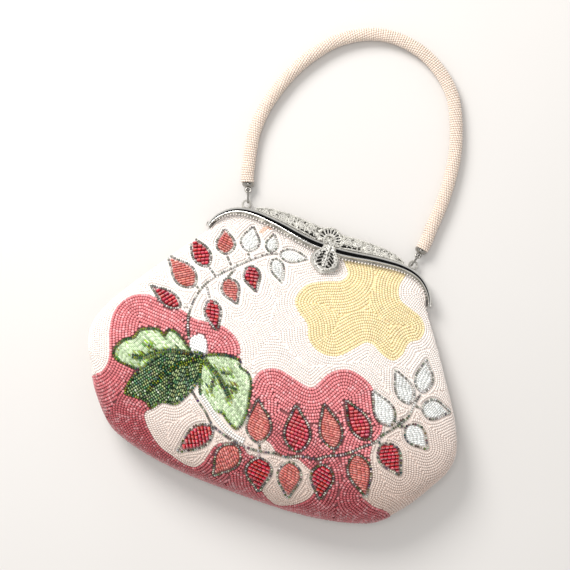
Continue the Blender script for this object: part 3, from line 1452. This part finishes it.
def wing_points(side, across, up, z):
    """Points of a crest wing, up by a share of its height."""
    across = np.atleast_1d(across)
    x = side * across * CREST_SPAN / 2
    height = CREST_HEIGHT * np.interp(across, WING_PROFILE["across"], WING_PROFILE["height"])
    return np.stack([x, bar_top(x) + SEAT_GAP + up * height, np.full(x.shape, z)], axis=-1)


def level_way(angle):
    """The direction at an angle in the bag's plane."""
    return np.array([math.cos(angle), math.sin(angle), 0])


def crest_wires(side):
    """Scroll wires, leaf sprigs and a beaded edge of one wing."""
    pieces = []
    edge = Beads()
    for up, start in ((0.07, 0.26), (0.93, 0.13)):
        line = evenly(wing_points(side, np.linspace(start, 0.985, 90), up, CREST_TOP + 0.45), 0.95)
        for point, way in zip(line, unit(np.gradient(line, axis=0))):
            edge.add(point, way, UP, 1.05, 0.95, CAST_BALL)
    for number, (across, up, radius) in enumerate(WING_SCROLLS):
        middle = wing_points(side, across, up, RELIEF_TOP)[0]
        size = radius * CREST_HEIGHT
        turn = np.linspace(0, 3.2 * np.pi, 40)
        grown = turn / turn[-1]
        spiral = size * (0.95 - 0.7 * grown)
        hand = side if number % 2 else -side
        line = middle + np.stack([spiral * np.cos(turn), hand * spiral * np.sin(turn), 0.3 * grown], axis=1)
        pieces.append(wire(f"scroll_{side}_{number}", line, 0.26 + 0.2 * radius, 6))
        edge.add(middle + 0.3 * UP, level_way(0), UP, 0.36 * size, 0.36 * size, CAST_BALL)
        for sprig in range(SCROLL_SPRIGS):
            out = level_way(np.pi * (0.1 + 2 * sprig / SCROLL_SPRIGS))
            foot = middle + size * 1.2 * out - 0.3 * UP
            edge.add(foot, unit(out + np.array([0.4 * side, 0, 0])), UP, 0.8, 1.2, CAST_BALL)
    for across in np.arange(0.19, 0.95, 0.065):
        for up in (0.22, 0.8):
            spot = wing_points(side, across, up, CREST_TOP + 0.4)[0]
            edge.add(spot, np.array([0.7 * side, 0.7, 0]), UP, 0.85, 1.2, CAST_BALL)
    return pieces, edge


def crest_fan_wires():
    """Ray ridges and a beaded rim of the fan."""
    rim_radius = FAN_RADIUS * 0.93
    rim = circle(FAN_MIDDLE + 0.05 * rim_radius * UP, rim_radius, np.linspace(-0.04, 1.04, 60) * np.pi)
    pieces = []
    for ray in range(FAN_RAYS + 1):
        out = level_way(np.pi * ray / FAN_RAYS)
        line = FAN_MIDDLE + np.linspace(0.3, 0.88, 6)[:, None] * FAN_RADIUS * out + 0.5 * UP
        pieces.append(wire(f"ray_{ray}", line, np.linspace(0.45, 0.25, 6), 6))
    for ring in (0.36, 0.45):
        line = circle(FAN_MIDDLE + 0.6 * UP, ring * FAN_RADIUS, turns_of(24))
        pieces.append(wire(f"collar_{ring}", line, 0.3, 6, endless=True))
    return pieces, balls(evenly(rim, 0.9), 0.9)


def crest_hollows():
    """Black openings beside the fan and between its rays."""
    hollows = Beads()
    for side in (-1, 1):
        for across, width in WING_HOLLOWS:
            spots = wing_points(side, [across, across + 0.02], 0.2, CREST_TOP)
            hollows.add(spots[0], unit(spots[1] - spots[0]), UP, width, 2.8, JET)
    for ray in range(FAN_RAYS):
        out = level_way(np.pi * (ray + 0.5) / FAN_RAYS)
        hollows.add(FAN_MIDDLE + 0.66 * FAN_RADIUS * out, out, UP, 0.9, 2.6, JET)
    return hollows


# The clasp leaf in its own frame: hinge along X at the origin, leaf towards -Y
LEAF_WIDTH = 14.9
LEAF_LENGTH = 17.0
LEAF_INSET = 0.93
CLASP_TILT = math.radians(-9)
LEAF_UP = np.array([0, -math.sin(CLASP_TILT), math.cos(CLASP_TILT)])
LEAF_OUTLINE = [
    (0.06, 0.13), (0.2, 0.24), (0.36, 0.4), (0.52, 0.49), (0.66, 0.5), (0.79, 0.43), (0.9, 0.27),
    (0.97, 0.11), (1.0, 0.0),
]
# The slots' places down and across, and length, as in the part's source
LEAF_SLOTS = [(0.34, 0.15, 0.12), (0.46, 0.2, 0.2), (0.58, 0.23, 0.24), (0.7, 0.22, 0.22), (0.82, 0.16, 0.14)]
SLOT_ANGLE = math.radians(35)


def on_leaf(points):
    """Points of the leaf's own frame, moved to where the leaf hangs."""
    pin_low, pin_high = (np.array(corner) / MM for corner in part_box("clasp_pin"))
    points = np.array(points, float)
    y = points[:, 1] * math.cos(CLASP_TILT) - points[:, 2] * math.sin(CLASP_TILT)
    z = points[:, 1] * math.sin(CLASP_TILT) + points[:, 2] * math.cos(CLASP_TILT)
    return np.stack([points[:, 0], y, z], axis=1) + (pin_low + pin_high) / 2


def leaf_wires():
    """Beaded rim, middle vein and side veins of the clasp leaf, and the black in its slots."""
    width, length = LEAF_WIDTH * LEAF_INSET, LEAF_LENGTH * LEAF_INSET
    right = [(half * width, -down * length - 0.3, 0.1) for down, half in LEAF_OUTLINE]
    left = [(-x, y, z) for x, y, z in right[-2::-1]]
    rim = balls(on_leaf(spline(right + left, 0.95)), 0.9, LEAF_UP)
    vein = on_leaf([(0, -down * LEAF_LENGTH, 0.2) for down in np.linspace(0.08, 0.92, 12)])
    pieces = [wire("leaf_vein", vein, np.linspace(0.28, 0.18, 12), 8)]
    hollows = Beads()
    for down, across, run in LEAF_SLOTS:
        for side in (-1, 1):
            way = np.array([side * math.cos(SLOT_ANGLE), -math.sin(SLOT_ANGLE), 0.0])
            middle = np.array([side * across * LEAF_WIDTH, -down * LEAF_LENGTH, 0.0])
            ends = on_leaf([middle, middle + way])
            hollows.add(ends[0], unit(ends[1] - ends[0]), LEAF_UP, 1.25, run * LEAF_LENGTH, JET)
            above = middle + np.array([0, 1.05, 0.12])
            line = on_leaf([above + way * share * run * LEAF_LENGTH for share in (-0.5, 0, 0.5)])
            pieces.append(wire(f"side_vein_{down}_{side}", line, (0.2, 0.18, 0.14), 6))
    return pieces, rim, hollows


BAR = silver_finish("mirror_nickel", 0.05, 0.1)
LIP = silver_finish("lip_nickel", 0.3, 0.8, (0.32, 0.3, 0.26), 0.2)
BRIGHT = silver_finish("polished_nickel", 0.1, 0.25)
RIMS = silver_finish("cast_rims", 0.25, 0.6, (0.86, 0.84, 0.78), 0.15, 0.4)
CAST = cast_finish("cast_nickel", (0.86, 0.84, 0.77), (0.07, 0.06, 0.045), 750.0, 0.95)
HOLLOW = silver_finish("hollow_black", 0.6, 0.0, (0.015, 0.014, 0.012), 0.1, 0.2)
PEBBLED = cast_finish("pebbled_nickel", (0.84, 0.82, 0.77), (0.07, 0.065, 0.05), 900.0, 0.9)
SATIN = silver_finish("satin_nickel", 0.35, 0.4, (0.7, 0.68, 0.63), 0.1, 0.7)
DARK_NICKEL = silver_finish("dark_nickel", 0.16, 0.7, (0.42, 0.4, 0.37), 0.1)
LOOP_PLACE = FRAME_WIDTH / 2 - 17
LOOP_RADIUS = 2.35

front_bar = finished(swept("front_bar", 1, bar_section, BAR_STEPS), BAR)
for name, outward in (("front_lip", 1), ("back_lip", -1)):
    finished(swept(name, outward, lip_section, LIP_STEPS, LIP_MARGIN), LIP)
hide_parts("frame_front")
loops = []
for side in (-1, 1):
    middle = np.array([side * LOOP_PLACE, bar_top(side * LOOP_PLACE) + LOOP_RADIUS, ROPE_RADIUS])
    ring = circle(middle, LOOP_RADIUS, turns_of(28))
    loops.append(wire(f"handle_loop_{side}", ring, 0.62, 10, endless=True))
back_bar = finished(swept("back_bar", -1, bar_section, BAR_STEPS), BAR)
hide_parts("frame_back")
finished(joined_piece("handle_loops", loops), SATIN)

crest_pieces, fan_edge = crest_fan_wires()
rims = {"fan_rim": fan_edge}
for side, name in ((-1, "left_wing_rim"), (1, "right_wing_rim")):
    wires, rims[name] = crest_wires(side)
    crest_pieces += wires
finished(joined_piece("crest_scrollwork", crest_pieces), RIMS)
for name, rim in rims.items():
    finished(bead_mesh(name, rim, 8), RIMS)
leaf_pieces, leaf_rim, leaf_hollows = leaf_wires()
finished(joined_piece("clasp_leaf_veins", leaf_pieces), RIMS, "clasp_lever")
finished(bead_mesh("clasp_leaf_rim", leaf_rim, 8), RIMS, "clasp_lever")
finished(bead_mesh("clasp_leaf_hollows", leaf_hollows, 8), HOLLOW, "clasp_lever")
finished(bead_mesh("crest_hollows", crest_hollows(), 8), HOLLOW)
dressed("crest", CAST, "bag", 0.15)
dressed("clasp_plate", SATIN, "bag", 0.12)
dressed("clasp_pin", BRIGHT, "bag", 0.05)
dressed("clasp_leaf", PEBBLED, "clasp_lever", 0.08)
for side in ("left", "right"):
    dressed(f"hinge_rivet_{side}", BRIGHT, "bag", 0.1)
    dressed(f"link_{side}", DARK_NICKEL, "bag", 0.0)
    dressed(f"end_cap_{side}", DARK_NICKEL, "bag", 0.1)

# Thread stitches over the lip, one in each tooth gap
UNSTITCHED = 3
stitches = Beads()
gaps = np.arange(UNSTITCHED, int(FRAME_RUN / TOOTH_PITCH) - UNSTITCHED) + 0.5
lip_face = MIDDLE_PLANE + BAR_GAP / 2 + BAR_DEPTH - LIP_RECESS
for centre, away, half, lip in zip(*frame_place(gaps * TOOTH_PITCH / FRAME_RUN)):
    point = np.array([*(centre - away * (half + 0.85 * lip)), lip_face])
    stitches.add(point, np.array([*away, 0.0]), UP, 0.8, 0.45 * lip + 0.3, CREAM)
finished(bead_mesh("lip_stitches", stitches, 6), GLASS["cream"])

# Floor, light and camera
bpy.ops.mesh.primitive_plane_add(size=6, location=(0, 0, -0.0002))
floor = bpy.context.object
floor.name = "floor"
paper = Finish("pale_floor", Roughness=0.6)
tone = paper.limit(paper.noise(4.0), 0.3, 0.7)
paper.set(Base_Color=paper.mix(tone, (0.68, 0.66, 0.64), (0.7, 0.68, 0.66)))
floor.data.materials.append(paper.material)


def lamp(name, place, size, power, colour, mirrored):
    """A round soft lamp aimed at the middle of the floor."""
    data = bpy.data.lights.new(name, "AREA")
    data.shape = "DISK"
    data.size = size
    data.energy = power
    data.color = colour
    made = bpy.data.objects.new(name, data)
    bpy.context.scene.collection.objects.link(made)
    made.location = place
    made.rotation_euler = (-made.location).to_track_quat("-Z", "Y").to_euler()
    made.visible_glossy = mirrored


picture_right = level_way(PICTURE_TURN)
picture_up = np.array([-math.sin(PICTURE_TURN), math.cos(PICTURE_TURN), 0])
window = -0.42 * picture_right + 0.74 * picture_up + 0.68 * UP
ceiling = -0.1 * picture_right + 0.2 * picture_up + 1.3 * UP
lamp("window", tuple(window), 0.52, 11.6, (1.0, 0.985, 0.965), mirrored=False)
lamp("ceiling", tuple(ceiling), 0.28, 2.5, (1.0, 0.99, 0.98), mirrored=True)


def studio_world():
    """A bright room whose upper side is dark where polished metal mirrors it."""
    world = bpy.data.worlds.new("studio")
    world.use_nodes = True
    bpy.context.scene.world = world
    room = Nodes(world.node_tree)
    way = room.node("ShaderNodeTexCoord", {}, {}, "Generated")
    dot = {"operation": "DOT_PRODUCT"}
    height = room.node("ShaderNodeVectorMath", dot, {0: way, 1: (0.0, 0.0, 1.0)}, "Value")
    ahead = room.node("ShaderNodeVectorMath", dot, {0: way, 1: (0.1, 1.0, 0.0)}, "Value")
    band = room.limit(height, 0.58, 0.72) * room.limit(height, 0.993, 0.98) * room.limit(ahead, -0.06, -0.01)
    mirrored = room.node("ShaderNodeLightPath", {}, {}, "Is Glossy Ray")
    colour = room.mix(band * mirrored, (1.0, 0.995, 0.985), (0.01, 0.01, 0.011))
    background = world.node_tree.nodes["Background"]
    room.feed(background.inputs["Color"], colour)
    background.inputs["Strength"].default_value = 0.67


studio_world()
bpy.context.scene.view_settings.view_transform = "Standard"

SENSOR_WIDTH = 36
camera_data = bpy.data.cameras.new("camera")
camera_data.sensor_width = SENSOR_WIDTH
camera_data.lens = SENSOR_WIDTH * (CAMERA_HEIGHT - PICTURE_PLANE) / (PICTURE_SIZE * PICTURE_SCALE)
camera_data.clip_end = 20
camera = bpy.data.objects.new("camera", camera_data)
bpy.context.scene.collection.objects.link(camera)
camera.location = (PICTURE_MIDDLE[0] * MM, PICTURE_MIDDLE[1] * MM, CAMERA_HEIGHT * MM)
camera.rotation_euler = (0, 0, PICTURE_TURN)
bpy.context.scene.camera = camera
